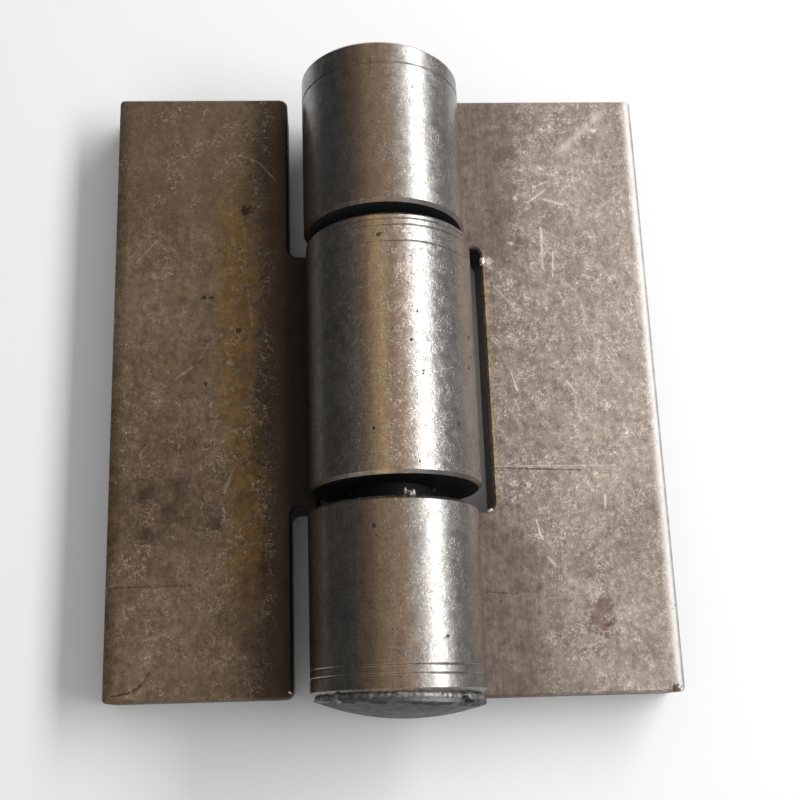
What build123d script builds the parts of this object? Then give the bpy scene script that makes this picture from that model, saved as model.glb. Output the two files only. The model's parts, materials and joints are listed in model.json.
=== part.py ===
from build123d import *
from math import radians, sin, sqrt
import os

# Weld-on steel butt hinge with three turned knuckles, lying open on its back.
# X runs across the open leaves, Y along the pin, Z up out of the hinge's front.
# The origin is under the pin, at the middle of the overall length, on the plane of the leaf backs.
# All sizes are in millimetres.

# Leaves
leaf_height = 100.0
leaf_reach = 43.7
leaf_thickness = 8.0
leaf_corner_radius = 0.8
leaf_edge_break = 0.35
edge_roll_width = 2.0
edge_roll_drop = 0.45
notch_corner_radius = 1.4

# Knuckles: two outer ones on the fixed leaf, one middle one on the swing leaf
knuckle_diameter = 25.7
middle_knuckle_oversize = 0.4
middle_knuckle_length = 40.0
middle_turning_offset = 0.5
knuckle_edge_break = 0.5
bottom_rim_chamfer = 1.1
top_end_set_back = 0.3
top_end_skew = 2.5
bore_mouth_chamfer = 0.5

# Room between the two halves
end_play = 5.0
swing_lift = 0.12 * end_play
tab_room = 0.4 * end_play
notch_room = 0.9 * end_play
outer_side_clearance = 2.6
middle_side_clearance = 3.15

# Pin
pin_diameter = 12.0
pin_running_clearance = 0.05
pin_push_clearance = 0.02
pin_head_inset = 0.3
pin_head_height = 2.8
pin_head_rim = 0.6
pin_head_skew = 2.4
pin_top_sink = 3.0
plug_mouth_diameter = 17.0
plug_mouth_depth = 2.4

# Welds along the backs of the knuckles
weld_root_land = 1.2
weld_toe_share = 0.42
weld_crown = 0.4
weld_plate_inset = 0.2
weld_end_inset = 1.2
weld_ripple_pitch = 2.3
weld_ripple_depth = 0.3

# Rings scribed by the turning tool
ring_width = 0.35
ring_depth = 0.12
top_ring_from_end = 4.0
middle_rings_from_end = (1.1, 2.1, 4.7)
bottom_rings_from_end = (3.0, 4.2)

outer_radius = knuckle_diameter / 2
middle_radius = (knuckle_diameter + middle_knuckle_oversize) / 2
pin_radius = pin_diameter / 2
axis_height = max(outer_radius, middle_radius)
half_height = leaf_height / 2
half_space = (middle_knuckle_length + end_play) / 2
overall_middle = (swing_lift - pin_head_height) / 2


def on_pin_axis(shape):
    """Lay a shape that was turned about Z along the hinge's axis."""
    return Pos(0, 0, axis_height) * Rot(-90, 0, 0) * shape


def turned(points):
    """Turn a half section of (radius, height) points about Z."""
    return revolve(Plane.XZ * make_face(Polyline(*points, close=True)), Axis.Z)


def bar(radius, low, high, low_break, high_break, rings=()):
    """A turned bar with broken ends and scribed rings at the given heights."""
    points = [(0, low), (radius - low_break, low), (radius, low + low_break)]
    for height in sorted(rings):
        points.append((radius, height - ring_width / 2))
        points.append((radius - ring_depth, height))
        points.append((radius, height + ring_width / 2))
    points += [(radius, high - high_break), (radius - high_break, high), (0, high)]
    return turned(points)


def bore(radius, low, high):
    """The hole for the pin, with a chamfered mouth at each end."""
    mouth = radius + bore_mouth_chamfer
    return turned([
        (0, low), (mouth, low), (radius, low + bore_mouth_chamfer),
        (radius, high - bore_mouth_chamfer), (mouth, high), (0, high),
    ])


def past_top_end():
    """Everything beyond the barrel's top end, which is sawn a little askew."""
    size = 2 * knuckle_diameter
    block = Box(size, size, size, align=(Align.CENTER, Align.CENTER, Align.MIN))
    return Pos(0, 0, half_height - top_end_set_back) * Rot(0, top_end_skew, 0) * block


def plug_hole():
    """The funnel above the pin's top end, which the plug weld fills."""
    floor = half_height - pin_top_sink
    neck = half_height - plug_mouth_depth
    brim = half_height + plug_mouth_depth
    radius = pin_radius + pin_push_clearance
    brim_radius = plug_mouth_diameter - radius
    funnel = turned([(0, floor), (radius, floor), (radius, neck), (brim_radius, brim), (0, brim)])
    return funnel - past_top_end()


def top_knuckle():
    ring = half_height - top_ring_from_end
    stock = half_height + plug_mouth_depth
    body = bar(outer_radius, half_space, stock, knuckle_edge_break, knuckle_edge_break, [ring])
    body -= past_top_end()
    body = chamfer(body.faces().sort_by(Axis.Z)[-1].edges(), knuckle_edge_break)
    body -= bore(pin_radius + pin_push_clearance, half_space, half_height)
    return on_pin_axis(body - plug_hole())


def bottom_knuckle():
    rings = [distance - half_height for distance in bottom_rings_from_end]
    body = bar(
        outer_radius, -half_height, -half_space, bottom_rim_chamfer, knuckle_edge_break, rings
    )
    return on_pin_axis(body - bore(pin_radius + pin_push_clearance, -half_height, -half_space))


def middle_knuckle():
    """Turned a little off its bore, so that its side steps past the outer knuckles."""
    half = middle_knuckle_length / 2
    rings = [half - distance for distance in middle_rings_from_end]
    outside = bar(middle_radius, -half, half, knuckle_edge_break, knuckle_edge_break, rings)
    hole = bore(pin_radius + pin_running_clearance, -half, half)
    body = Pos(middle_turning_offset, 0, 0) * outside - hole
    return Pos(0, swing_lift, 0) * on_pin_axis(body)


def hinge_pin():
    """A straight shank with a low head, whose dome is dressed a little askew."""
    head_radius = outer_radius - pin_head_inset
    seat = -half_height
    top = half_height - pin_top_sink
    crown = seat - pin_head_height
    rise = pin_head_height - pin_head_rim
    dome_radius = (head_radius ** 2 + rise ** 2) / (2 * rise)
    shank = turned([(0, seat), (pin_radius, seat), (pin_radius, top), (0, top)])
    head = turned([(0, crown), (head_radius, crown), (head_radius, seat), (0, seat)])
    dome_x = dome_radius * sin(radians(pin_head_skew))
    head &= Pos(dome_x, 0, crown + dome_radius) * Sphere(dome_radius)
    return on_pin_axis(shank + head)


def weld_edge(radius, offset):
    """How far from the pin a leaf's welded edge lies, so that its front lip meets the knuckle."""
    drop = axis_height - leaf_thickness + weld_root_land
    return sqrt(radius ** 2 - drop ** 2) - offset


def broken_edges(leaf, welded_x):
    """Break the sharp edges of a leaf's two faces, except where it is welded."""
    faces = leaf.faces().sort_by(Axis.Z)
    edges = [edge for face in (faces[0], faces[-1]) for edge in face.edges()]
    free = [edge for edge in edges if abs(edge.center().X - welded_x) > leaf_edge_break]
    return chamfer(free, leaf_edge_break)


def cope(radius, offset, low, high):
    """The round of a knuckle, cut out of the leaf that is welded to it."""
    return on_pin_axis(Pos(offset, 0, (low + high) / 2) * Cylinder(radius, high - low))


def plate(low_x, high_x, middle_y, height):
    """A flat piece of leaf between two X values, as a sketch."""
    return Pos((low_x + high_x) / 2, middle_y) * Rectangle(high_x - low_x, height)


def rounded_leaf(outline, outer_x, notch_x):
    """Thicken a leaf's outline and round its outer and notch corners."""
    leaf = extrude(outline, leaf_thickness)
    uprights = leaf.edges().filter_by(Axis.Z)
    outer = [edge for edge in uprights if abs(edge.center().X - outer_x) < leaf_corner_radius]
    leaf = fillet(outer, leaf_corner_radius)
    uprights = leaf.edges().filter_by(Axis.Z)
    inner = [edge for edge in uprights if abs(edge.center().X - notch_x) < notch_corner_radius]
    return fillet(inner, notch_corner_radius)


def edge_roll(side):
    """What the shears rolled off the front of a leaf along its outer edge."""
    start = leaf_reach - edge_roll_width
    radius = (edge_roll_width ** 2 + edge_roll_drop ** 2) / (2 * edge_roll_drop)
    away = Rectangle(edge_roll_width, edge_roll_drop, align=Align.MIN)
    section = Pos(start, leaf_thickness - edge_roll_drop) * away
    section -= Pos(start, leaf_thickness - radius) * Circle(radius)
    roll = extrude(Plane.XZ * section, leaf_height, both=True)
    return roll if side > 0 else mirror(roll, Plane.YZ)


def fixed_leaf():
    """The right leaf, notched in the middle and welded to the outer knuckles."""
    edge_x = weld_edge(outer_radius, 0)
    notch_x = middle_radius + middle_side_clearance
    outline = plate(edge_x, leaf_reach, 0, leaf_height)
    outline -= plate(0, notch_x, swing_lift, middle_knuckle_length + notch_room)
    leaf = broken_edges(rounded_leaf(outline, leaf_reach, notch_x), edge_x)
    leaf -= cope(outer_radius, 0, -leaf_height, leaf_height)
    return leaf - edge_roll(1)


def swing_leaf():
    """The left leaf, notched at both ends and welded to the middle knuckle."""
    edge_x = -weld_edge(middle_radius, middle_turning_offset)
    notch_x = -outer_radius - outer_side_clearance
    outline = plate(-leaf_reach, notch_x, swing_lift, leaf_height)
    outline += plate(notch_x, edge_x, swing_lift, middle_knuckle_length + tab_room)
    leaf = broken_edges(rounded_leaf(outline, -leaf_reach, notch_x), edge_x)
    leaf -= cope(middle_radius, middle_turning_offset, -leaf_height, leaf_height)
    return leaf - edge_roll(-1)


def weld_bead(side, radius, offset, low, high):
    """The weld that fills the groove between a leaf's edge and the back of its knuckle."""
    edge_x = weld_edge(radius, -side * offset)
    toe_x = weld_toe_share * radius
    toe_z = axis_height - sqrt(radius ** 2 - toe_x ** 2)
    root = (side * edge_x, leaf_thickness - weld_root_land)
    lip = (side * edge_x, weld_plate_inset)
    toe = (side * toe_x + offset, toe_z)
    middle = ((lip[0] + toe[0]) / 2, (lip[1] + toe[1]) / 2 - weld_crown)
    outline = Line(root, lip) + ThreePointArc(lip, middle, toe) + Line(toe, root)
    section = Plane.XZ * make_face(outline)
    bead = extrude(Pos(0, low, 0) * section, high - low, dir=(0, 1, 0))
    bead -= cope(radius, offset, low, high)
    for groove in ripple_grooves(lip, toe, low, high):
        bead -= groove
    return bead


def ripple_grooves(lip, toe, low, high):
    """Shallow grooves across a bead, one after each pass of the electrode."""
    run = sqrt((toe[0] - lip[0]) ** 2 + (toe[1] - lip[1]) ** 2)
    across = ((toe[0] - lip[0]) / run, 0, (toe[1] - lip[1]) / run)
    centre = ((lip[0] + toe[0]) / 2, (lip[1] + toe[1]) / 2 - weld_crown)
    count = int((high - low) / weld_ripple_pitch)
    first = (low + high - (count - 1) * weld_ripple_pitch) / 2
    for number in range(count):
        start = Plane(
            origin=(centre[0], first + number * weld_ripple_pitch, centre[1]), x_dir=(0, 1, 0),
            z_dir=across,
        )
        groove = start * Rot(0, 0, 45) * Rectangle(weld_ripple_depth, weld_ripple_depth)
        yield extrude(groove, run, both=True)


def plug_weld():
    """The weld over the pin's top end, dressed flush with the top knuckle."""
    return on_pin_axis(plug_hole())


def nodes():
    inner = half_space + weld_end_inset
    outer = half_height - weld_end_inset
    tab_half = (middle_knuckle_length + tab_room) / 2 - weld_end_inset
    low, high = swing_lift - tab_half, swing_lift + tab_half
    return {
        "fixed_leaf": fixed_leaf(),
        "swing_leaf": swing_leaf(),
        "top_knuckle": top_knuckle(),
        "middle_knuckle": middle_knuckle(),
        "bottom_knuckle": bottom_knuckle(),
        "hinge_pin": hinge_pin(),
        "pin_plug_weld": plug_weld(),
        "top_knuckle_weld": weld_bead(1, outer_radius, 0, inner, outer),
        "bottom_knuckle_weld": weld_bead(1, outer_radius, 0, -outer, -inner),
        "middle_knuckle_weld": weld_bead(-1, middle_radius, middle_turning_offset, low, high),
    }


os.makedirs("parts", exist_ok=True)
for name, solid in nodes().items():
    export_step(Pos(0, -overall_middle, 0) * solid, f"parts/{name}.step")
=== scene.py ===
import bpy
import bmesh
import json
import math
from mathutils import Matrix, Vector, noise


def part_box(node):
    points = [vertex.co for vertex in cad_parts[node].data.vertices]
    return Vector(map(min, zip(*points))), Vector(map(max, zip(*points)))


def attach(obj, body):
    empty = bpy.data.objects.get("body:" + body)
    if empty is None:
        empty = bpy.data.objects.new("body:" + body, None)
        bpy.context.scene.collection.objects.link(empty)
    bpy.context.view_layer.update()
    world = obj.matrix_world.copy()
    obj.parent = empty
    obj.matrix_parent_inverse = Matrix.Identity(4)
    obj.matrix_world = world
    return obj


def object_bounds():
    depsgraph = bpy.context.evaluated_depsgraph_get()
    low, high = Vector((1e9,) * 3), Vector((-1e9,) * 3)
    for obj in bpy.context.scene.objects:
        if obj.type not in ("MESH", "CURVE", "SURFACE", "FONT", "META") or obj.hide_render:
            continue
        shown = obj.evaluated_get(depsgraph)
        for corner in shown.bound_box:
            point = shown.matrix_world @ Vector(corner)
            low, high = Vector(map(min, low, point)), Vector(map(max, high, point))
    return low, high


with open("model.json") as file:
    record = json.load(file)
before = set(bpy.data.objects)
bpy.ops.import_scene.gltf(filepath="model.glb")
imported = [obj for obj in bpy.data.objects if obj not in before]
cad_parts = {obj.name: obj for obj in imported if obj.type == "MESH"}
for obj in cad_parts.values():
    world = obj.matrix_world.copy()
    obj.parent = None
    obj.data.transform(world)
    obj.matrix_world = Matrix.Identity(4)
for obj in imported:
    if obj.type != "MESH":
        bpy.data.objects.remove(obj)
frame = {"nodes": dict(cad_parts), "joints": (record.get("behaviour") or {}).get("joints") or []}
cad_low, cad_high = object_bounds()

MM = 0.001

# The frame's own measures, in millimetres
AXIS = Vector(frame["joints"][0]["pos_m"]) / MM
TOP_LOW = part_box("top_knuckle")[0] / MM
MIDDLE_LOW, MIDDLE_HIGH = (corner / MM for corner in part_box("middle_knuckle"))
BOTTOM_LOW, BOTTOM_HIGH = (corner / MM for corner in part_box("bottom_knuckle"))
FIXED_LOW, FIXED_HIGH = (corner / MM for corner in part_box("fixed_leaf"))
PIN_LOW, PIN_HIGH = (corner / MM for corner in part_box("hinge_pin"))
LEAF_FRONT = FIXED_HIGH.z

# The camera, from a perspective fit to the photograph. Its place is in millimetres from the
# point under the pin at the fixed leaf's mid-height, and its turns are in degrees.
IMAGE_SIDE = 800
SENSOR_WIDTH = 36.0
CAMERA_PLACE = (-9.7, -54.1, 175.7)
CAMERA_YAW = 2.72
CAMERA_PITCH = -14.23
CAMERA_ROLL = 1.74
FOCAL_PIXELS = 1099.0
CENTRE_PIXEL = (378.0, 450.0)

# What the polished metal sees round the pin: degrees from straight up, then light
SURROUND = (
    (-110, (0.09, 0.09, 0.09)),
    (-70, (0.09, 0.085, 0.08)),
    (-55, (0.10, 0.095, 0.09)),
    (-40, (0.21, 0.195, 0.175)),
    (-27, (0.37, 0.34, 0.305)),
    (-12, (0.54, 0.505, 0.465)),
    (5, (0.70, 0.67, 0.63)),
    (20, (0.90, 0.88, 0.85)),
    (35, (1.05, 1.05, 1.03)),
    (58, (0.78, 0.77, 0.77)),
    (75, (0.36, 0.355, 0.35)),
    (110, (0.27, 0.265, 0.26)),
)

# The rest of the studio, in metres and watts
CARD_RADIUS = 0.7
CARD_LENGTH = 2.4
CARD_STEPS = 48
FLAG_AWAY = 0.05
FLAG_HALF_LENGTH = 0.2
FLAG_HEIGHT = 0.021
FLOOR_HALF = 3.0
WORLD_FILL = 0.4
KEY_DIRECTION = (0.74, 0.30, 0.62)
KEY_DISTANCE = 0.6
KEY_WIDTH = 0.15
KEY_LENGTH = 0.9
KEY_POWER = 4.6

# Worn marks on the leaves, placed one by one, in millimetres.
# A stroke has a start, an end, a width and a strength.
FIXED_SCRATCHES = (
    ((28.4, 23.0), (28.1, 18.7), 0.17, 1.0),
    ((25.8, 34.7), (28.3, 36.0), 0.20, 1.0),
    ((24.8, 32.1), (27.8, 34.3), 0.20, 1.0),
    ((27.6, 32.6), (30.6, 31.6), 0.28, 1.0),
    ((21.0, -1.0), (20.2, 2.0), 0.17, 1.0),
    ((29.1, 0.6), (30.1, -0.9), 0.20, 1.0),
    ((24.2, -28.0), (25.3, -29.5), 0.26, 1.0),
    ((22.7, -22.1), (23.3, -25.0), 0.15, 1.0),
    ((33.9, -18.4), (33.7, -20.4), 0.22, 1.0),
    ((30.5, 41.4), (38.0, 48.3), 0.90, 0.5),
    ((26.7, 27.4), (26.5, 20.2), 0.32, 0.85),
    ((18.1, 17.2), (22.3, 12.0), 0.18, 0.45),
    ((40.8, 34.0), (35.1, 29.6), 0.20, 0.4),
    ((18.2, -13.4), (35.8, -13.6), 0.15, 0.6),
)
FIXED_SCORES = (
    ((16.4, -13.7), (30.2, -14.3), 0.16, 0.8),
    ((13.7, -33.2), (19.4, -33.6), 0.18, 0.45),
)
SWING_SCRATCHES = (
    ((-40.2, 22.0), (-37.0, 25.7), 0.20, 0.6),
    ((-33.5, 2.0), (-31.0, 3.7), 0.20, 0.8),
    ((-29.6, 5.4), (-28.5, 7.5), 0.17, 0.55),
    ((-28.5, 7.5), (-26.3, 9.2), 0.17, 0.55),
    ((-23.5, 41.2), (-20.3, 39.8), 0.20, 0.5),
    ((-20.3, 39.8), (-17.6, 36.5), 0.20, 0.45),
    ((-25.7, -16.7), (-24.5, -13.2), 0.20, 0.8),
    ((-27.2, -38.9), (-27.3, -40.4), 0.20, 0.9),
    ((-22.4, 19.0), (-21.4, 10.5), 0.13, 0.5),
)
SWING_SCORES = (
    ((-42.6, -31.2), (-30.9, -31.1), 0.20, 0.5),
    ((-42.4, -47.3), (-39.5, -46.8), 0.22, 0.9),
    ((-39.5, -46.8), (-37.8, -45.6), 0.22, 0.9),
    ((-37.8, -45.6), (-36.9, -43.9), 0.22, 0.6),
)

# A spot has a centre, a radius, a softness and a strength.
FIXED_CHIPS = (
    ((36.9, 45.5), 0.50, 0.5, 1.0),
    ((22.6, 32.8), 0.45, 0.5, 1.0),
    ((21.5, 24.7), 0.40, 0.5, 1.0),
    ((35.0, 7.0), 0.40, 0.5, 1.0),
    ((17.5, 21.2), 1.20, 0.8, 0.8),
)
FIXED_PITS = (
    ((16.3, -34.6), 0.20, 0.5, 1.0),
    ((42.2, -48.3), 0.70, 0.5, 1.0),
)
SWING_CHIPS = (
    ((-21.4, -15.5), 0.35, 0.5, 0.6),
    ((-19.5, -19.3), 0.35, 0.5, 0.5),
    ((-22.6, -42.0), 0.35, 0.5, 0.5),
)
SWING_PITS = (
    ((-22.4, 31.0), 0.90, 0.4, 1.0),
    ((-23.7, 10.0), 0.60, 0.5, 1.0),
    ((-29.2, 15.5), 0.40, 0.5, 1.0),
    ((-28.1, 15.6), 0.40, 0.5, 1.0),
    ((-28.9, 0.8), 0.45, 0.6, 1.0),
)
SWING_SMUDGES = (
    ((-38.0, -17.0), 2.4, 0.8, 1.0),
    ((-33.4, -15.6), 2.2, 0.8, 1.0),
    ((-34.1, -19.6), 3.0, 0.8, 1.0),
    ((-27.9, -21.3), 2.2, 0.8, 1.0),
    ((-37.9, -23.0), 2.4, 0.8, 1.0),
)

# Pits on the knuckles, each a centre and a radius
TOP_PITS = (((10.8, 39.4, 20.0), 0.5),)
MIDDLE_PITS = (
    ((3.8, 6.0, 25.7), 0.35), ((1.1, 12.8, 26.1), 0.4), ((2.6, 1.4, 25.9), 0.35),
    ((4.3, -3.6, 25.5), 0.4), ((5.3, -3.8, 25.2), 0.3), ((12.4, 4.9, 18.5), 0.40),
    ((12.0, 4.0, 19.3), 0.25), ((12.2, 1.0, 18.9), 0.3), ((11.7, -0.9, 19.8), 0.45),
    ((12.3, -2.9, 18.7), 0.3), ((3.3, -16.6, 25.8), 0.4), ((9.5, -10.4, 22.5), 0.3),
    ((-1.6, 17.9, 26.0), 0.5), ((-2.5, 18.2, 25.9), 0.3), ((-2.0, 17.2, 25.9), 0.25),
    ((1.2, 13.4, 26.0), 0.35), ((-3.9, -9.2, 25.3), 0.3), ((-3.1, -11.6, 25.5), 0.25),
)
BOTTOM_PITS = (((-3.5, -25.5, 25.4), 0.4), ((6.2, -41.0, 24.3), 0.5))

# Burrs, each a centre and its three half sizes, in millimetres
NOTCH_BURRS = (((16.5, 21.4, 7.8), (0.45, 0.7, 0.3)), ((15.6, -20.5, 7.75), (0.55, 0.35, 0.3)))
CORNER_BURRS = (((-16.2, -47.4, 7.7), (0.45, 0.5, 0.3)), ((-42.7, -47.5, 7.4), (0.5, 0.4, 0.3)))
GAP_BURRS = (((1.9, -21.1, 25.3), (0.65, 0.5, 0.35)), ((1.1, -20.8, 25.2), (0.3, 0.5, 0.3)))

# The radius at which the knuckles' skin is unrolled, in millimetres
UNROLLED_RADIUS = 12.8

# Colours as linear red, green and blue, first those of the leaves
# Painted shade: near black for the plates' upright side faces, which sit in shade
SIDE_SHADE_GREY = (0.034, 0.034, 0.037)
PLATE_PIT = (0.022, 0.016, 0.012)
# Pale grey for the right leaf's outer edge: partly rubbed wear, partly a painted highlight
RUBBED_EDGE_AND_HIGHLIGHT = (0.50, 0.487, 0.475)
FIXED_BROWN, FIXED_GREY = (0.205, 0.166, 0.138), (0.290, 0.240, 0.204)
SMOOTH_DARK, SMOOTH_PALE = (0.138, 0.104, 0.082), (0.170, 0.131, 0.106)
FIXED_MOTTLE = (0.15, 0.115, 0.09)
FIXED_DIRT = (0.150, 0.116, 0.094)
FIXED_SCRATCH = (0.62, 0.56, 0.51)
# A golden tint with a painted highlight, for the front edge along the notch
NOTCH_GOLD_AND_HIGHLIGHT = (0.40, 0.29, 0.14)
RUST = (0.100, 0.048, 0.032)
BEVEL_GREY = (0.205, 0.212, 0.225)
# Partly the left leaf's own darker brown, partly painted shade, as it stands further from the key
# light
SHADED_SWING_BROWN, SHADED_SWING_TAN = (0.130, 0.086, 0.053), (0.172, 0.119, 0.077)
SWING_MOTTLE = (0.110, 0.072, 0.045)
# Painted shade and a painted reflection of the barrel's dark flank, on the left leaf beside the
# barrel
BARREL_SHADE_UMBER = (0.040, 0.023, 0.013)
# Golden brown, for the band on the left leaf between the dark zone beside the barrel and the open
# plate
GOLDEN_BAND_BROWN = (0.190, 0.106, 0.028)
SOIL = (0.055, 0.034, 0.022)
SWING_FLECK = (0.40, 0.33, 0.25)
SWING_SCRATCH = (0.42, 0.36, 0.29)
# Painted shade: near black on the left leaf right beside the barrel, with a painted reflection of
# the dark barrel
TUCKED_SHADE_BLACK = (0.010, 0.008, 0.007)
SMUDGE = (0.050, 0.032, 0.023)

# Colours of the barrel
BAR_GREY, BAR_PALE = (0.228, 0.218, 0.210), (0.272, 0.260, 0.248)
# Brown for the top of the barrels: partly tarnish, partly a painted reflection
TARNISH_AND_SHEEN = (0.262, 0.186, 0.136)
BAR_MOTTLE = (0.165, 0.138, 0.118)
STRAW = (0.52, 0.38, 0.20)
BAR_SCRATCH = (0.60, 0.57, 0.54)
BAR_PIT = (0.03, 0.024, 0.02)
# Old grease and painted shade, for the ends in the gaps and the hidden pin shank
GREASE_AND_SHADE_BLACK, GREASE_AND_SHADE_GREY = (0.012, 0.012, 0.013), (0.034, 0.035, 0.037)
HEAD_DARK, HEAD_PALE = (0.040, 0.038, 0.041), (0.100, 0.096, 0.097)
HEAD_RUST = (0.050, 0.038, 0.031)
HEAD_WALL = (0.150, 0.146, 0.145)
SEAM_BLACK = (0.008, 0.007, 0.007)
WELD_STRAW, WELD_BLUE = (0.200, 0.172, 0.146), (0.150, 0.152, 0.164)
WELD_SCALE = (0.26, 0.25, 0.24)
BURR_BROWN, BURR_BRIGHT = (0.42, 0.37, 0.31), (0.80, 0.76, 0.70)
BURR_DARK, BURR_DULL = (0.12, 0.12, 0.12), (0.38, 0.38, 0.38)
SMEAR_DARK, SMEAR_PALE = (0.09, 0.086, 0.086), (0.26, 0.25, 0.245)


class Shader:
    """A node material, written as short calls that return sockets. Places are in millimetres."""

    def __init__(self, name):
        self.material = bpy.data.materials.new(name)
        self.material.use_nodes = True
        self.tree = self.material.node_tree
        self.bsdf = self.tree.nodes["Principled BSDF"]
        coordinates = self.add("ShaderNodeTexCoord")
        self.place = self.vector("SCALE", coordinates.outputs["Object"], scale=1 / MM)
        self.normal = coordinates.outputs["Normal"]

    def add(self, kind, values=None, **settings):
        node = self.tree.nodes.new(kind)
        for key, value in settings.items():
            setattr(node, key, value)
        for key, value in (values or {}).items():
            self.feed(node.inputs[key], value)
        return node

    def feed(self, socket, value):
        if isinstance(value, bpy.types.NodeSocket):
            self.tree.links.new(value, socket)
        else:
            socket.default_value = value

    def finish(self, name, value):
        """Set one of the surface's own values, uniform or varying."""
        self.feed(self.bsdf.inputs[name], value)

    def math(self, operation, *values, clamp=False):
        inputs = dict(enumerate(values))
        return self.add("ShaderNodeMath", inputs, operation=operation, use_clamp=clamp).outputs[0]

    def vector(self, operation, *values, scale=None):
        inputs = dict(enumerate(values))
        if scale is not None:
            inputs["Scale"] = scale
        node = self.add("ShaderNodeVectorMath", inputs, operation=operation)
        return node.outputs[1 if operation in ("DISTANCE", "DOT_PRODUCT", "LENGTH") else 0]

    def most(self, *values):
        result = values[0]
        for value in values[1:]:
            result = self.math("MAXIMUM", result, value)
        return result

    def product(self, *values):
        result = values[0]
        for value in values[1:]:
            result = self.math("MULTIPLY", result, value)
        return result

    def absolute(self, value):
        return self.math("ABSOLUTE", value)

    def split(self, vector):
        return self.add("ShaderNodeSeparateXYZ", {0: vector}).outputs

    def join(self, x=0.0, y=0.0, z=0.0):
        return self.add("ShaderNodeCombineXYZ", {0: x, 1: y, 2: z}).outputs[0]

    def moved(self, vector, place=(0, 0, 0), turn=(0, 0, 0), scale=(1, 1, 1)):
        values = {"Vector": vector, "Location": place, "Rotation": turn, "Scale": scale}
        return self.add("ShaderNodeMapping", values).outputs[0]

    def noise(self, vector, scale, detail=2.0, rough=0.5, distortion=0.0):
        values = {
            "Vector": vector, "Scale": scale, "Detail": detail, "Roughness": rough,
            "Distortion": distortion,
        }
        return self.add("ShaderNodeTexNoise", values).outputs["Fac"]

    def cells(self, vector, scale):
        values = {"Vector": vector, "Scale": scale}
        return self.add("ShaderNodeTexVoronoi", values).outputs["Distance"]

    def window(self, value, low, high):
        """0 at low and 1 at high, whichever is the larger."""
        values = {"Value": value, "From Min": low, "From Max": high}
        return self.add("ShaderNodeMapRange", values, interpolation_type="SMOOTHSTEP").outputs[0]

    def spread(self, value, low, high, to_low, to_high):
        """The value's share of the way from low to high, laid out between two other values."""
        values = {
            "Value": value, "From Min": low, "From Max": high, "To Min": to_low, "To Max": to_high,
        }
        return self.add("ShaderNodeMapRange", values).outputs[0]

    def blend(self, share, first, second):
        node = self.add("ShaderNodeMix", data_type="RGBA")
        self.feed(node.inputs[0], share)
        self.feed(node.inputs[6], (*first, 1) if isinstance(first, tuple) else first)
        self.feed(node.inputs[7], (*second, 1) if isinstance(second, tuple) else second)
        return node.outputs[2]

    def bump(self, height, depth, strength=1.0):
        values = {"Height": height, "Distance": depth * MM, "Strength": strength}
        return self.add("ShaderNodeBump", values).outputs[0]

    def band(self, value, low, high, soft):
        """1 between two values, with soft ends."""
        rising = self.window(value, low - soft, low + soft)
        return self.math("MULTIPLY", rising, self.window(value, high + soft, high - soft))

    def spot(self, centre, radius, soft=0.5, ragged=None):
        """1 inside a ball round a point, with a soft edge that a noise can make ragged."""
        distance = self.vector("DISTANCE", self.place, centre)
        if ragged is not None:
            distance = self.math("MULTIPLY_ADD", ragged, radius * 4.4, distance)
            distance = self.math("SUBTRACT", distance, radius * 2.2)
        return self.window(distance, radius, radius * (1 - soft))

    def stroke(self, start, end, width, ragged):
        """1 along a worn straight mark between two points, fading across its width."""
        start, end = Vector(start), Vector(end)
        run = end - start
        offset = self.vector("SUBTRACT", self.place, start)
        share = self.vector("DOT_PRODUCT", offset, run / run.length_squared)
        share = self.math("ADD", share, 0.0, clamp=True)
        nearest = self.vector("SCALE", run, scale=share)
        distance = self.vector("DISTANCE", offset, nearest)
        distance = self.math("MULTIPLY_ADD", ragged, width * 3.0, distance)
        return self.window(distance, width * 2.8, width * 1.6)

    def curls(self, vector, scale, width, seed):
        """Thin curling lines, where a noise crosses its middle value."""
        field = self.noise(self.moved(vector, place=(seed * 7.3, seed * 2.9, 0)), scale, 1.0)
        return self.window(self.absolute(self.math("SUBTRACT", field, 0.5)), width, 0.0)

    def scratches(self, vector, size, width, length, seed):
        """Short marks, one in each cell of a jittered grid of the given size, at random angles."""
        place = (seed * 3.1, seed * 1.7, 0)
        shifted = self.moved(vector, place=place, scale=(1 / size, 1 / size, 0))
        cell = self.add(
            "ShaderNodeTexVoronoi", {"Vector": shifted, "Scale": 1.0}, voronoi_dimensions="2D"
        )
        offset = self.vector("SUBTRACT", shifted, cell.outputs["Position"])
        shade = self.split(cell.outputs["Color"])
        angle = self.math("MULTIPLY", shade[0], math.pi)
        turned = self.add(
            "ShaderNodeVectorRotate", {"Vector": offset, "Angle": angle}, rotation_type="Z_AXIS"
        ).outputs[0]
        parts = self.split(turned)
        curl = self.spread(shade[1], 0, 1, -1.1, 1.1)
        bend = self.product(parts[0], parts[0], curl)
        across = self.absolute(self.math("ADD", parts[1], bend))
        reach = self.math("MULTIPLY", length, self.math("ADD", shade[2], 0.3))
        along = self.math("DIVIDE", self.absolute(parts[0]), reach)
        return self.product(self.window(across, width / size, 0.0), self.window(along, 1.0, 0.3))


def on_leaf(x, y):
    return (x, y, LEAF_FRONT)


def leaf_strokes(s, strokes, ragged):
    """The strongest of several worn strokes on a leaf."""
    return s.most(*(
        s.product(s.stroke(on_leaf(*start), on_leaf(*end), width, ragged), strength)
        for start, end, width, strength in strokes
    ))


def leaf_spots(s, spots, ragged):
    """The strongest of several ragged spots on a leaf."""
    return s.most(*(
        s.product(s.spot(on_leaf(*centre), radius, soft, ragged), strength)
        for centre, radius, soft, strength in spots
    ))


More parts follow.
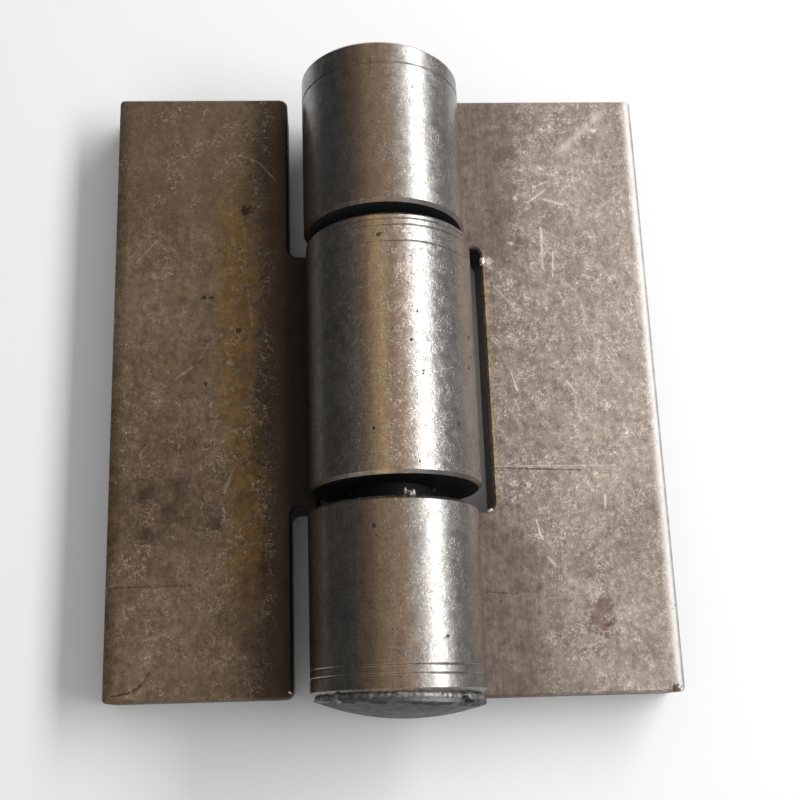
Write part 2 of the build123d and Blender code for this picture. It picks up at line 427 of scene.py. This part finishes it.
def leaf_marks(s, seed, sizes):
    """Fine marks at every angle in several sizes, thin curls and flakes, all in clumps."""
    layers = [
        s.scratches(s.place, size, 0.10, 0.40, seed + number * 1.3)
        for number, size in enumerate(sizes)
    ]
    curls = s.product(s.curls(s.place, 1.0, 0.014, seed), 0.55)
    clumps = s.noise(s.moved(s.place, place=(seed * 5, 0, 9)), 0.34, 2.0, 0.6)
    flakes = s.noise(s.moved(s.place, place=(seed * 9, 0, 4)), 1.5, 3.0, 0.7)
    marks = s.most(*layers, curls, s.window(flakes, 0.57, 0.64))
    return s.product(marks, s.spread(s.window(clumps, 0.40, 0.60), 0, 1, 0.30, 1.0))


def finish_plate(s, colour, marks, pits, grit, calm=0.0, edge=None):
    """The parts of the finish that both leaves share: tone, edges, painted shade on the side
    faces, gloss and relief.

    Calm is how far the grain fades, and edge is where the outer edge is painted bright, partly as
    rubbed wear and partly as a painted highlight."""
    patches = s.noise(s.moved(s.place, place=(0, 0, 50), scale=(1.4, 0.7, 1)), 0.75, 2.0, 0.5)
    drift = s.noise(s.moved(s.place, place=(0, 0, 80)), 0.28, 2.0, 0.5)
    tone = s.product(
        s.spread(grit, 0.38, 0.62, 0.81, 1.19),
        s.spread(patches, 0.3, 0.7, 0.86, 1.14),
        s.spread(drift, 0.3, 0.7, 0.86, 1.14),
    )
    tone = s.math("MULTIPLY_ADD", s.math("SUBTRACT", 1.0, tone), calm, tone)
    colour = s.vector("SCALE", colour, scale=tone)
    # Painted highlight, partly rubbed wear: the outer edge is painted bright
    if edge is not None:
        colour = s.blend(edge, colour, RUBBED_EDGE_AND_HIGHLIGHT)
    colour = s.blend(s.product(pits, 0.85), colour, PLATE_PIT)
    # Painted shade: the upright side faces are darkened towards near black
    upright = s.window(s.absolute(s.split(s.normal)[2]), 0.5, 0.25)
    s.finish("Base Color", s.blend(s.product(upright, 0.7), colour, SIDE_SHADE_GREY))
    s.finish("Metallic", 0.6)
    s.finish("Specular IOR Level", 0.3)
    rough = s.spread(grit, 0.38, 0.62, 0.42, 0.58)
    s.finish("Roughness", s.math("SUBTRACT", rough, s.product(marks, 0.10)))
    grain = s.noise(s.moved(s.place, scale=(6.0, 0.35, 1.0)), 1.0, 2.0, 0.6)
    height = s.math("MULTIPLY_ADD", grain, 0.3, grit)
    height = s.math("MULTIPLY_ADD", patches, 1.2, height)
    height = s.math("SUBTRACT", height, s.product(marks, 0.35))
    height = s.math("SUBTRACT", height, s.product(pits, 1.5))
    s.finish("Normal", s.bump(height, 0.05, 0.8))


def fixed_plate():
    """The right leaf: warm grey plate under a dense net of fine bright scratches."""
    s = Shader("fixed_plate")
    x, y, z = s.split(s.place)
    cloud = s.noise(s.place, 0.09, 3.0, 0.55, 0.3)
    mottle = s.noise(s.place, 0.55, 5.0, 0.62)
    grit = s.noise(s.place, 0.9, 5.0, 0.72)
    flecks = s.noise(s.place, 2.2, 4.0, 0.75)
    ragged = s.noise(s.place, 1.8, 3.0, 0.7)

    # Smooth and brown beside the barrel, worn and grey beyond
    streaks = s.noise(s.moved(s.place, scale=(2.2, 0.16, 1.0)), 1.0, 3.0, 0.6)
    beside = s.most(s.window(y, 16.0, 26.0), s.window(y, -17.0, -27.0))
    border = s.math("MULTIPLY_ADD", mottle, 7.0, s.math("MULTIPLY_ADD", cloud, 9.0, x))
    border = s.math("MULTIPLY_ADD", beside, -6.5, border)
    worn = s.window(border, 20.5, 27.5)
    shade = s.window(s.math("MULTIPLY_ADD", cloud, 24.0, x), 27.0, 50.0)
    smooth = s.blend(s.window(streaks, 0.3, 0.7), SMOOTH_DARK, SMOOTH_PALE)
    colour = s.blend(worn, smooth, s.blend(shade, FIXED_BROWN, FIXED_GREY))
    colour = s.blend(s.product(s.window(mottle, 0.5, 0.7), 0.3), colour, FIXED_MOTTLE)
    dirt = s.most(
        s.product(s.spot(on_leaf(37.0, -28.0), 15.0, 0.95, cloud), 0.75),
        s.product(s.window(y, 34.0, 48.0), s.window(x, 22.0, 32.0), 0.55),
    )
    colour = s.blend(s.product(dirt, 0.6), colour, FIXED_DIRT)

    # Bright scratches
    marks = leaf_marks(s, 1.0, (0.9, 1.3, 1.8, 2.6))
    marks = s.product(marks, s.spread(y, -24.0, -30.0, 1.0, 0.75))
    marks = s.most(marks, s.product(s.window(flecks, 0.55, 0.66), 0.6))
    marks = s.product(marks, s.window(mottle, 0.30, 0.56), s.spread(worn, 0, 1, 0.10, 1.0))
    scratches = leaf_strokes(s, FIXED_SCRATCHES, ragged)
    marks = s.most(marks, scratches, leaf_spots(s, FIXED_CHIPS, ragged))
    colour = s.blend(s.product(marks, 0.8), colour, FIXED_SCRATCH)

    # The notch's golden edge with a painted highlight on it, the rust, the broken outer edge, and
    # a bright outer strip that is partly rubbed wear and partly a painted highlight
    notch_edge = s.product(s.band(y, -20.0, 23.0, 1.0), s.window(x, 17.9, 16.5))
    notch_edge = s.product(notch_edge, s.window(flecks, 0.40, 0.60))
    # Partly golden tint, partly a painted highlight on the notch's front edge
    colour = s.blend(s.product(notch_edge, 0.7), colour, NOTCH_GOLD_AND_HIGHLIGHT)
    rust = s.most(
        s.product(s.spot(on_leaf(31.6, -36.4), 3.2, 0.9, mottle), 0.75),
        s.spot(on_leaf(32.2, -38.9), 1.9, 0.9, ragged),
    )
    colour = s.blend(s.product(rust, 0.8), colour, RUST)
    outer = FIXED_HIGH.x
    bevel = s.window(x, outer - 0.5, outer - 0.3)
    bevel = s.product(bevel, s.window(z, LEAF_FRONT - 0.1, LEAF_FRONT - 0.3))
    colour = s.blend(s.product(bevel, 0.8), colour, BEVEL_GREY)
    # A bright strip along the outer edge: partly rubbed wear, partly a painted highlight
    edge = s.window(x, outer - 1.9, outer - 0.5)
    edge = s.product(edge, s.window(z, LEAF_FRONT - 0.4, LEAF_FRONT - 0.2), 0.85)

    specks = s.product(s.window(s.cells(s.place, 0.8), 0.18, 0.08), s.window(mottle, 0.5, 0.6))
    scores = leaf_strokes(s, FIXED_SCORES, ragged)
    pits = s.most(scores, leaf_spots(s, FIXED_PITS, ragged), s.product(specks, 0.4))
    finish_plate(s, colour, marks, pits, grit, edge=edge)
    return s.material


def swing_plate():
    """The left leaf: darker plate, partly its own colour and partly painted shade, with a
    golden-brown band and painted shade beside the barrel.
    """
    s = Shader("swing_plate")
    x, y, _ = s.split(s.place)
    cloud = s.noise(s.moved(s.place, place=(40, 0, 0)), 0.08, 3.0, 0.55, 0.3)
    mottle = s.noise(s.moved(s.place, place=(90, 0, 0)), 0.5, 5.0, 0.62)
    grit = s.noise(s.moved(s.place, place=(30, 0, 0)), 0.9, 5.0, 0.72)
    flecks = s.noise(s.place, 2.0, 4.0, 0.75)
    ragged = s.noise(s.place, 1.8, 3.0, 0.7)
    # Painted shade in part: the left leaf's base is darker than the right leaf's
    colour = s.blend(s.window(cloud, 0.3, 0.7), SHADED_SWING_BROWN, SHADED_SWING_TAN)
    colour = s.blend(s.product(s.window(mottle, 0.5, 0.72), 0.35), colour, SWING_MOTTLE)

    # Umber beside the barrel, painted shade with a painted reflection of the barrel's dark flank,
    # and the golden band between it and the open plate
    wander = s.math("MULTIPLY_ADD", mottle, 5.0, s.math("MULTIPLY_ADD", cloud, 7.0, x))
    lower = s.window(y, 5.0, -15.0)
    barrel_shade = s.window(s.math("MULTIPLY_ADD", lower, 0.8, wander), -17.6, -12.2)
    colour = s.blend(s.product(barrel_shade, 0.92), colour, BARREL_SHADE_UMBER)
    leaning = s.math("MULTIPLY_ADD", lower, -1.8, wander)
    golden = s.product(s.band(leaning, -20.8, -15.8, 2.2), s.band(y, -32.0, 36.0, 7.0))
    golden = s.product(golden, s.spread(grit, 0.36, 0.60, 0.45, 1.0))
    golden = s.product(golden, s.window(mottle, 0.78, 0.46))
    colour = s.blend(golden, colour, GOLDEN_BAND_BROWN)
    soiled = s.spot(on_leaf(-34.0, -16.5), 16.0, 0.8)
    soiled = s.product(soiled, s.spread(mottle, 0.35, 0.65, 0.2, 0.6))
    grains = s.product(s.window(flecks, 0.49, 0.38), s.spread(soiled, 0, 0.4, 0.25, 0.7))
    colour = s.blend(s.most(soiled, grains), colour, SOIL)

    # Fine marks in slanting clusters, and thick in the lower golden band
    slanted = s.moved(s.place, place=(0, 60, 0), turn=(0, 0, 0.9), scale=(1, 0.4, 1))
    clusters = s.spread(s.noise(slanted, 0.30, 2.0), 0.44, 0.62, 0.22, 1.0)
    gilded = s.product(s.band(wander, -22.5, -17.5, 1.5), s.window(y, 8.0, -4.0))
    clusters = s.product(s.most(clusters, gilded), s.window(x, -16.5, -20.0))
    marks = leaf_marks(s, 9.0, (0.9, 1.3, 1.9, 2.7))
    marks = s.most(marks, s.product(s.window(flecks, 0.56, 0.68), 0.7))
    marks = s.product(marks, clusters, s.window(mottle, 0.32, 0.58))
    colour = s.blend(s.product(marks, 0.9), colour, SWING_FLECK)
    # Painted shade and painted reflection of the dark barrel: near black right beside the barrel
    tucked_shade = s.window(x, -17.6, -15.0)
    colour = s.blend(s.product(tucked_shade, 0.85), colour, TUCKED_SHADE_BLACK)

    scratches = leaf_strokes(s, SWING_SCRATCHES, ragged)
    nicks = s.most(scratches, leaf_spots(s, SWING_CHIPS, ragged))
    colour = s.blend(s.product(nicks, 0.5), colour, SWING_SCRATCH)
    colour = s.blend(s.product(leaf_spots(s, SWING_SMUDGES, mottle), 0.6), colour, SMUDGE)
    pits = s.most(leaf_spots(s, SWING_PITS, ragged), leaf_strokes(s, SWING_SCORES, ragged))
    finish_plate(s, colour, s.most(marks, nicks), pits, grit, calm=s.spread(y, 24, 38, 0, 0.5))
    return s.material


class TurnedBar(Shader):
    """A lathe-turned knuckle: its skin unrolled flat, with its ends as they are."""

    def __init__(self, name, seed, centre_x):
        super().__init__(name)
        self.seed = seed
        depth = seed * 30.0
        across, self.y, up = self.split(self.place)
        x = self.math("SUBTRACT", across, centre_x)
        z = self.math("SUBTRACT", up, AXIS.z)
        angle = self.math("ARCTAN2", x, z)
        self.degrees = self.math("MULTIPLY", angle, 180 / math.pi)
        self.around = self.math("MULTIPLY", angle, UNROLLED_RADIUS)
        self.facing = self.window(self.absolute(self.split(self.normal)[1]), 0.85, 0.95)
        side, end = self.join(self.around, self.y, depth), self.join(x, z, depth)
        self.skin = self.blend(self.facing, side, end)
        past_side = self.math("SUBTRACT", self.vector("LENGTH", self.join(x, z)), self.y)
        along = self.math("MULTIPLY_ADD", self.facing, past_side, self.y)
        turning = self.join(self.product(self.around, 0.02), self.product(along, 4.0), depth)
        self.rings = self.noise(turning, 1.0, 3.0, 0.7)
        self.mottle = self.noise(self.skin, 0.55, 5.0, 0.65, 0.3)
        self.dents = self.noise(self.skin, 0.9, 2.0, 0.5)
        self.hammer = self.noise(self.skin, 2.3, 3.0, 0.6)

    def steel(self, stain_angle, stain, flank_sheen):
        """Grey steel, brown on top partly from tarnish and partly as a painted reflection, with a
        straw stain and a painted reflection that brightens the left flank.
        """
        cloud = self.window(self.noise(self.skin, 0.10, 3.0, 0.55), 0.3, 0.7)
        colour = self.blend(cloud, BAR_GREY, BAR_PALE)
        # Partly tarnish, partly a painted reflection: a brown band across the top of the bar
        drift = self.math("MULTIPLY_ADD", self.mottle, 10.0, self.degrees)
        tarnish_and_sheen = self.product(self.window(drift, 21.0, 4.0), self.window(drift, -32.0, -12.0))
        on_end = self.math("SUBTRACT", 0.5, tarnish_and_sheen)
        tarnish_and_sheen = self.math("MULTIPLY_ADD", self.facing, on_end, tarnish_and_sheen)
        colour = self.blend(self.product(tarnish_and_sheen, 0.9), colour, TARNISH_AND_SHEEN)
        mottle = self.product(self.window(self.mottle, 0.5, 0.72), 0.55)
        colour = self.blend(mottle, colour, BAR_MOTTLE)
        away = self.absolute(self.math("SUBTRACT", self.degrees, stain_angle))
        wander = self.math("MULTIPLY_ADD", self.mottle, 7.0, away)
        straw = self.product(self.window(wander, 13.0, 4.5), stain)
        straw = self.product(straw, self.spread(self.rings, 0.35, 0.6, 0.5, 1.0))
        straw = self.product(straw, self.math("SUBTRACT", 1.0, self.facing))
        colour = self.blend(straw, colour, STRAW)
        fibres = self.noise(self.moved(self.skin, scale=(0.8, 0.35, 1.0)), 1.0, 4.0, 0.6)
        tone = self.spread(fibres, 0.34, 0.66, 0.86, 1.14)
        tone = self.product(tone, self.spread(self.hammer, 0.3, 0.7, 0.82, 1.18))
        # Painted reflection: a band on the left flank is brightened
        flank = self.product(self.band(self.degrees, -72.0, -56.0, 6.0), flank_sheen)
        tone = self.product(tone, self.math("ADD", flank, 1.0))
        return self.vector("SCALE", colour, scale=tone)

    def nicks(self):
        """Fine scratches in two sizes, and curls, on part of the skin."""
        nicks = self.most(
            self.scratches(self.skin, 1.2, 0.09, 0.38, self.seed),
            self.scratches(self.skin, 1.9, 0.10, 0.36, self.seed + 3),
            self.curls(self.skin, 1.4, 0.015, self.seed),
        )
        return self.product(nicks, self.window(self.mottle, 0.42, 0.58))

    def pits(self, places):
        """Scattered specks, and pits placed one by one."""
        specks = self.window(self.cells(self.skin, 1.1), 0.22, 0.08)
        specks = self.product(specks, self.window(self.mottle, 0.49, 0.6))
        placed = [self.spot(centre, radius, 0.6, self.dents) for centre, radius in places]
        return self.most(self.product(specks, 0.45), *placed)

    def grease_and_shade(self, gap_ends):
        """Old grease and painted shade on the ends that face a gap."""
        offsets = [self.math("SUBTRACT", self.y, end) for end in gap_ends]
        ends = [self.window(self.absolute(offset), 0.5, 0.15) for offset in offsets]
        return self.product(self.most(*ends), self.facing)

    def relief(self, hammered, lean, pits, nicks):
        """Rings, dents and wear. The lean tips the sheen round the bar."""
        struck = self.math("SUBTRACT", self.hammer, 0.5)
        struck = self.product(struck, self.window(self.mottle, 0.40, 0.60))
        dents = self.product(self.dents, 0.3 + 0.45 * hammered)
        height = self.math("MULTIPLY_ADD", self.rings, 0.14, dents)
        height = self.math("MULTIPLY_ADD", self.mottle, 0.4, height)
        height = self.math("MULTIPLY_ADD", struck, 0.75 * hammered, height)
        height = self.math("MULTIPLY_ADD", self.around, -lean, height)
        height = self.math("SUBTRACT", height, self.product(pits, 0.8))
        height = self.math("SUBTRACT", height, self.product(nicks, 0.2))
        return self.bump(height, 0.05, 0.8)


def turned_steel(
    name, seed, hammered, gap_ends, pit_places, stain, stain_angle=-10.0, centre_x=0.0, lean=0.0,
    flank_sheen=0.0,
):
    """Bar turned on a lathe: fine rings, a satin sheen, brown on top that is partly tarnish and
    partly a painted reflection, and small pits.

    Hammered is the strength of its small dents, and the last argument brightens its left flank as
    a painted reflection. Stain is the strength of the straw stain along it. A lean moves the
    sheen, as on a bar not quite round."""
    s = TurnedBar(name, seed, centre_x)
    nicks, pits, grease_and_shade = s.nicks(), s.pits(pit_places), s.grease_and_shade(gap_ends)
    colour = s.steel(stain_angle, stain, flank_sheen)
    colour = s.blend(s.product(nicks, 0.3 * hammered), colour, BAR_SCRATCH)
    colour = s.blend(s.product(pits, 0.85), colour, BAR_PIT)
    # Old grease and painted shade on the ends in the gaps
    grease_and_shade_colour = s.blend(s.window(s.y, 0.0, 5.0), GREASE_AND_SHADE_BLACK, GREASE_AND_SHADE_GREY)
    s.finish("Base Color", s.blend(grease_and_shade, colour, grease_and_shade_colour))
    s.finish("Metallic", s.spread(grease_and_shade, 0, 1, 1.0, 0.0))
    s.finish("Specular IOR Level", 0.1)
    rough = s.math("MULTIPLY_ADD", grease_and_shade, 0.3, s.spread(s.mottle, 0.3, 0.7, 0.25, 0.38))
    s.finish("Roughness", s.math("MULTIPLY_ADD", pits, 0.3, rough))
    s.finish("Normal", s.relief(hammered, lean, pits, nicks))
    return s.material


def pin_steel():
    """The pin: a dull hammered head with a broken dark seam, and a shank dark with old grease and
    painted shade.
    """
    s = Shader("pin_steel")
    x, y, z = s.split(s.place)
    head_radius = (PIN_HIGH.x - PIN_LOW.x) / 2
    radius = s.vector("LENGTH", s.join(x, s.math("SUBTRACT", z, AXIS.z)))
    rim = s.math("SUBTRACT", head_radius, radius)
    mottle = s.noise(s.place, 0.5, 5.0, 0.62)
    grit = s.noise(s.place, 0.6, 6.0, 0.8)
    rust = s.noise(s.place, 0.22, 4.0, 0.6, 0.5)
    colour = s.blend(s.window(grit, 0.38, 0.62), HEAD_DARK, HEAD_PALE)
    colour = s.blend(s.product(s.window(rust, 0.52, 0.68), 0.8), colour, HEAD_RUST)
    wall = s.window(s.absolute(s.split(s.normal)[1]), 0.6, 0.3)
    seam = s.band(s.math("MULTIPLY_ADD", grit, 1.2, rim), 0.7, 1.9, 0.2)
    seam = s.product(seam, s.window(s.noise(s.place, 0.5, 2.0), 0.38, 0.48))
    teeth = s.window(s.noise(s.moved(s.place, scale=(1.6, 0.8, 1)), 1.0, 2.0), 0.48, 0.54)
    seam = s.most(seam, s.product(teeth, wall, s.window(x, 6.5, 8.5)))
    colour = s.blend(s.product(wall, 0.7), colour, HEAD_WALL)
    colour = s.blend(seam, colour, SEAM_BLACK)
    # Old grease and painted shade on the shank inside the knuckles
    shank = s.window(y, BOTTOM_LOW.y + 1.0, BOTTOM_LOW.y + 3.0)
    s.finish("Base Color", s.blend(shank, colour, GREASE_AND_SHADE_BLACK))
    s.finish("Metallic", s.spread(s.most(shank, seam), 0, 1, 0.8, 0.0))
    s.finish("Specular IOR Level", 0.15)
    s.finish("Roughness", s.spread(mottle, 0.3, 0.7, 0.42, 0.60))
    s.finish("Normal", s.bump(grit, 0.14, 0.8))
    return s.material


def weld_metal(name, seed):
    """Rippled weld metal with faint straw and blue heat tints."""
    s = Shader(name)
    place = s.moved(s.place, place=(0, seed * 20.0, 0))
    mottle = s.noise(place, 0.7, 4.0, 0.6)
    tint = s.noise(place, 0.15, 2.0, 0.5)
    colour = s.blend(s.window(tint, 0.35, 0.65), WELD_STRAW, WELD_BLUE)
    s.finish("Base Color", s.blend(s.window(mottle, 0.5, 0.7), colour, WELD_SCALE))
    s.finish("Metallic", 0.9)
    s.finish("Roughness", s.spread(mottle, 0.3, 0.7, 0.30, 0.50))
    s.finish("Normal", s.bump(mottle, 0.15, 0.7))
    return s.material


def torn_steel(name, dark, light):
    """Torn or smeared steel, lighter where it has been rubbed."""
    s = Shader(name)
    mottle = s.noise(s.place, 2.0, 3.0, 0.6)
    s.finish("Base Color", s.blend(s.window(mottle, 0.3, 0.7), dark, light))
    s.finish("Metallic", 0.7)
    s.finish("Roughness", s.spread(mottle, 0.3, 0.7, 0.35, 0.55))
    return s.material


def dress(node, material):
    """Give a CAD node its finish."""
    piece = frame["nodes"][node]
    piece.data.materials.clear()
    piece.data.materials.append(material)


def add_object(name, data):
    """Put a mesh, a light or a camera into the scene."""
    added = bpy.data.objects.new(name, data)
    bpy.context.scene.collection.objects.link(added)
    return added


def add_piece(name, mesh, material, body):
    """Fix a smooth piece that is made here to one of the frame's bodies."""
    mesh.shade_smooth()
    mesh.materials.append(material)
    piece = add_object(name, mesh)
    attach(piece, body)


def burrs(name, body, material, bumps):
    """Small torn burrs, each a lumpy flattened ball set into the surface."""
    shape = bmesh.new()
    for centre, half_sizes in bumps:
        middle = Vector(centre) * MM
        place = Matrix.Translation(middle) @ Matrix.Diagonal((*(Vector(half_sizes) * MM), 1))
        added = bmesh.ops.create_icosphere(shape, subdivisions=3, radius=1.0, matrix=place)
        for vertex in added["verts"]:
            lump = noise.noise(vertex.co / MM * 2.3)
            vertex.co += (vertex.co - middle) * lump * 0.55
    mesh = bpy.data.meshes.new(name)
    shape.to_mesh(mesh)
    shape.free()
    add_piece(name, mesh, material, body)


def smear(name, body, material, radius, y, drop, first, last, thickness):
    """A lumpy bead of smeared metal round the barrel, between two angles from straight up.

    It drops along the pin on its way to the right."""
    steps, sides = 160, 10
    vertices, faces = [], []
    for step in range(steps + 1):
        share = step / steps
        angle = math.radians(first + (last - first) * share)
        outward = Vector((math.sin(angle), 0, math.cos(angle)))
        middle = Vector((AXIS.x, y - drop * max(0.0, math.sin(angle)), AXIS.z))
        lump = noise.noise(Vector((share * 23.0, 4.0, 0.0)))
        lump += 0.6 * noise.noise(Vector((share * 61.0, 9.0, 0.0)))
        taper = min(1.0, 12 * share, 12 * (1 - share))
        girth = thickness * (1.0 + 0.55 * lump) * taper + 0.01
        for side in range(sides):
            turn = 2 * math.pi * side / sides
            away = outward * (radius + girth * math.sin(turn))
            away += Vector((0, girth * math.cos(turn), 0))
            vertices.append((middle + away) * MM)
    for step in range(steps):
        for side in range(sides):
            corner, beside = step * sides + side, step * sides + (side + 1) % sides
            faces.append((corner, beside, beside + sides, corner + sides))
    faces.append(tuple(range(sides)))
    faces.append(tuple(steps * sides + side for side in reversed(range(sides))))
    mesh = bpy.data.meshes.new(name)
    mesh.from_pydata(vertices, [], faces)
    add_piece(name, mesh, material, body)


def make_floor():
    """A plain pale floor under the hinge."""
    half, z = FLOOR_HALF, cad_low.z
    corners = [(-half, -half, z), (half, -half, z), (half, half, z), (-half, half, z)]
    mesh = bpy.data.meshes.new("floor")
    mesh.from_pydata(corners, [], [(0, 1, 2, 3)])
    floor = add_object("floor", mesh)
    material = bpy.data.materials.new("floor_paint")
    material.use_nodes = True
    bsdf = material.node_tree.nodes["Principled BSDF"]
    bsdf.inputs["Base Color"].default_value = (0.95, 0.95, 0.95, 1)
    bsdf.inputs["Roughness"].default_value = 0.9
    bsdf.inputs["Specular IOR Level"].default_value = 0.1
    mesh.materials.append(material)


def make_world():
    """White for the eye and for reflections, and dimmer as a light."""
    world = bpy.data.worlds.new("studio")
    bpy.context.scene.world = world
    world.use_nodes = True
    tree = world.node_tree
    path = tree.nodes.new("ShaderNodeLightPath")
    seen = path.outputs["Is Camera Ray"]
    for name in ("Is Glossy Ray", "Is Transmission Ray"):
        either = tree.nodes.new("ShaderNodeMath")
        either.operation = "MAXIMUM"
        tree.links.new(seen, either.inputs[0])
        tree.links.new(path.outputs[name], either.inputs[1])
        seen = either.outputs[0]
    strength = tree.nodes.new("ShaderNodeMapRange")
    strength.inputs["To Min"].default_value = WORLD_FILL
    strength.inputs["To Max"].default_value = 1.0
    tree.links.new(seen, strength.inputs["Value"])
    background = tree.nodes["Background"]
    tree.links.new(strength.outputs[0], background.inputs["Strength"])
    background.inputs["Color"].default_value = (1, 1, 1, 1)


def surround_mesh():
    """A card curved over the hinge, and two low flags that stand beside the leaves."""
    vertices, faces = [], []
    first, last = math.radians(SURROUND[0][0]), math.radians(SURROUND[-1][0])
    for step in range(CARD_STEPS + 1):
        angle = first + (last - first) * step / CARD_STEPS
        x, z = CARD_RADIUS * math.sin(angle), CARD_RADIUS * math.cos(angle)
        vertices += [(x, -CARD_LENGTH / 2, z), (x, CARD_LENGTH / 2, z)]
    for step in range(CARD_STEPS):
        corner = step * 2
        faces.append((corner, corner + 1, corner + 3, corner + 2))
    low, high = cad_low.z, cad_low.z + FLAG_HEIGHT
    near, far = -FLAG_HALF_LENGTH, FLAG_HALF_LENGTH
    for x in (-FLAG_AWAY, FLAG_AWAY):
        corner = len(vertices)
        vertices += [(x, near, low), (x, far, low), (x, far, high), (x, near, high)]
        faces.append(tuple(range(corner, corner + 4)))
    mesh = bpy.data.meshes.new("surround")
    mesh.from_pydata(vertices, [], faces)
    return mesh


def surround_light():
    """Light that changes with the angle round the pin, and is paler at the flags' feet."""
    s = Shader("surround_light")
    x, _, z = s.split(s.place)
    first, last = SURROUND[0][0], SURROUND[-1][0]
    degrees = s.math("MULTIPLY", s.math("ARCTAN2", x, z), 180 / math.pi)
    ramp = s.add("ShaderNodeValToRGB", {0: s.spread(degrees, first, last, 0, 1)})
    stops = ramp.color_ramp.elements
    for number, (angle, light) in enumerate(SURROUND):
        where = (angle - first) / (last - first)
        if number in (0, len(SURROUND) - 1):
            stop = stops[0 if number == 0 else -1]
            stop.position = where
        else:
            stop = stops.new(where)
        stop.color = (*light, 1)
    s.finish("Base Color", (0, 0, 0, 1))
    s.finish("Specular IOR Level", 0.0)
    foot = s.product(s.band(s.math("SUBTRACT", z, cad_low.z / MM), 2.0, 9.0, 3.5), 0.25)
    s.finish("Emission Color", s.blend(foot, ramp.outputs["Color"], (1, 1, 1)))
    s.finish("Emission Strength", 1.0)
    return s.material


def make_surround():
    """The card and the flags, for reflections alone.

    The flags keep most of the floor's white out of the barrel's flanks."""
    mesh = surround_mesh()
    card = add_object("surround", mesh)
    mesh.materials.append(surround_light())
    card.visible_camera = False
    card.visible_diffuse = False
    card.visible_shadow = False


def make_key_lamp():
    """A soft box that looks at the hinge's middle, with its long side along the pin."""
    data = bpy.data.lights.new("key", "AREA")
    data.shape = "RECTANGLE"
    data.size, data.size_y = KEY_WIDTH, KEY_LENGTH
    data.energy = KEY_POWER
    light = add_object("key", data)
    away = Vector(KEY_DIRECTION).normalized()
    light.location = away * KEY_DISTANCE
    side = Vector((0, 1, 0)).cross(away).normalized()
    up = away.cross(side)
    light.rotation_mode = "QUATERNION"
    light.rotation_quaternion = Matrix((side, up, away)).transposed().to_quaternion()
    light.visible_camera = False


def make_camera():
    """The photograph's camera."""
    data = bpy.data.cameras.new("camera")
    data.sensor_width = SENSOR_WIDTH
    data.lens = FOCAL_PIXELS / IMAGE_SIDE * SENSOR_WIDTH
    data.shift_x = (IMAGE_SIDE / 2 - CENTRE_PIXEL[0]) / IMAGE_SIDE
    data.shift_y = (CENTRE_PIXEL[1] - IMAGE_SIDE / 2) / IMAGE_SIDE
    data.clip_start, data.clip_end = 0.01, 20.0
    camera = add_object("camera", data)
    middle = Vector((0, (FIXED_LOW.y + FIXED_HIGH.y) / 2, FIXED_LOW.z))
    camera.location = (middle + Vector(CAMERA_PLACE)) * MM
    into_view = (
        Matrix.Rotation(math.radians(CAMERA_ROLL), 3, "Z")
        @ Matrix.Rotation(math.radians(CAMERA_PITCH), 3, "X")
        @ Matrix.Rotation(math.radians(CAMERA_YAW), 3, "Y")
    )
    camera.rotation_mode = "QUATERNION"
    camera.rotation_quaternion = into_view.inverted().to_quaternion()
    bpy.context.scene.camera = camera


dress("fixed_leaf", fixed_plate())
dress("swing_leaf", swing_plate())
dress("top_knuckle", turned_steel(
    "top_knuckle_steel", 1.0, hammered=0.8, gap_ends=(TOP_LOW.y,), pit_places=TOP_PITS,
    stain=0.15,
))
dress("middle_knuckle", turned_steel(
    "middle_knuckle_steel", 2.0, hammered=1.9, gap_ends=(MIDDLE_LOW.y, MIDDLE_HIGH.y),
    pit_places=MIDDLE_PITS, stain=0.7, stain_angle=-11.0, centre_x=0.5, lean=2.5, flank_sheen=0.6,
))
dress("bottom_knuckle", turned_steel(
    "bottom_knuckle_steel", 3.0, hammered=0.9, gap_ends=(BOTTOM_HIGH.y,), pit_places=BOTTOM_PITS,
    stain=0.2, flank_sheen=0.3,
))
dress("hinge_pin", pin_steel())
for number, node in enumerate(
    ("pin_plug_weld", "top_knuckle_weld", "bottom_knuckle_weld", "middle_knuckle_weld")
):
    dress(node, weld_metal(f"{node}_metal", number))

bright_burr = torn_steel("bright_burr", BURR_BROWN, BURR_BRIGHT)
burrs("notch_burrs", "fixed", bright_burr, NOTCH_BURRS)
burrs("corner_burrs", "swing", bright_burr, CORNER_BURRS)
dull_burr = torn_steel("dull_burr", BURR_DARK, BURR_DULL)
burrs("gap_burrs", "fixed", dull_burr, GAP_BURRS)
smeared_steel = torn_steel("smeared_steel", SMEAR_DARK, SMEAR_PALE)
smear(
    "seam_smear", "fixed", smeared_steel, radius=BOTTOM_HIGH.x - 0.80,
    y=BOTTOM_LOW.y + 0.2, drop=0.5, first=-88.0, last=84.0, thickness=0.55,
)

make_floor()
make_world()
make_surround()
make_key_lamp()
make_camera()
bpy.context.scene.view_settings.view_transform = "Standard"
